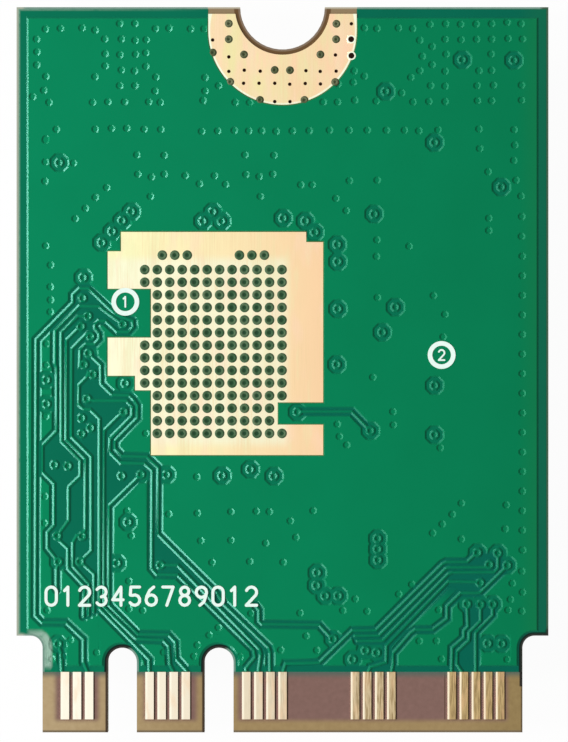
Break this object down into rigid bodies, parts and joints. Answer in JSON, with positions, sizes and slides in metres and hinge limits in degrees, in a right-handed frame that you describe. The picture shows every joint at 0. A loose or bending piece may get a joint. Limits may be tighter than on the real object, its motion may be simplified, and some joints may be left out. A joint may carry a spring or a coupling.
{
  "type": "laptop wireless network card",
  "caption": "Small plug-in wireless card: a rectangular circuit board with a keyed contact tongue, a half-round screw notch, a gold heat pad, a shield can and antenna sockets.",
  "frame": {"origin": "middle of the board's outline, on the plane that the shield can rests on", "axes": "+Y towards the screw notch, +X to the right of the bare back, +Z out of the bare back"},
  "size_m": [0.022, 0.03, 0.0022],
  "materials": {
    "laminate": "satin",
    "green_mask": "satin",
    "gold_plating": "satin",
    "white_ink": "matte",
    "tinned_steel": "satin",
    "antenna_gold": "satin",
    "antenna_insulator": "satin",
    "moulding_black": "matte",
    "tin_plating": "satin",
    "thermal_silicone": "matte",
    "filter_ceramic": "satin",
    "capacitor_ceramic": "satin",
    "resistor_ceramic": "satin",
    "ferrite_moulding": "matte"
  },
  "bodies": {
    "root": {"laminate_board": "laminate", "back_solder_mask": "green_mask", "front_solder_mask": "green_mask", "back_ground_pad": "gold_plating", "back_via_dots": "green_mask", "back_screw_pad": "gold_plating", "front_screw_pad": "gold_plating", "back_edge_contacts": "gold_plating", "front_edge_contacts": "gold_plating", "test_point_rings": "white_ink", "shield_fence": "tinned_steel", "shield_cover": "tinned_steel", "radio_chip_leads": "tin_plating", "radio_chip_body": "moulding_black", "thermal_pad": "thermal_silicone", "left_front_end_module": "moulding_black", "right_front_end_module": "moulding_black", "left_diplexer": "filter_ceramic", "right_diplexer": "filter_ceramic", "flash_memory": "moulding_black", "voltage_regulator": "moulding_black", "crystal_base": "filter_ceramic", "crystal_lid": "tin_plating", "core_inductor": "ferrite_moulding", "radio_inductor": "ferrite_moulding", "capacitor_bodies": "capacitor_ceramic", "capacitor_ends": "tin_plating", "resistor_bodies": "resistor_ceramic", "resistor_ends": "tin_plating", "left_antenna_shell": "antenna_gold", "left_antenna_insulator": "antenna_insulator", "left_antenna_pin": "antenna_gold", "middle_antenna_shell": "antenna_gold", "middle_antenna_insulator": "antenna_insulator", "middle_antenna_pin": "antenna_gold", "right_antenna_shell": "antenna_gold", "right_antenna_insulator": "antenna_insulator", "right_antenna_pin": "antenna_gold"}
  },
  "joints": []
}
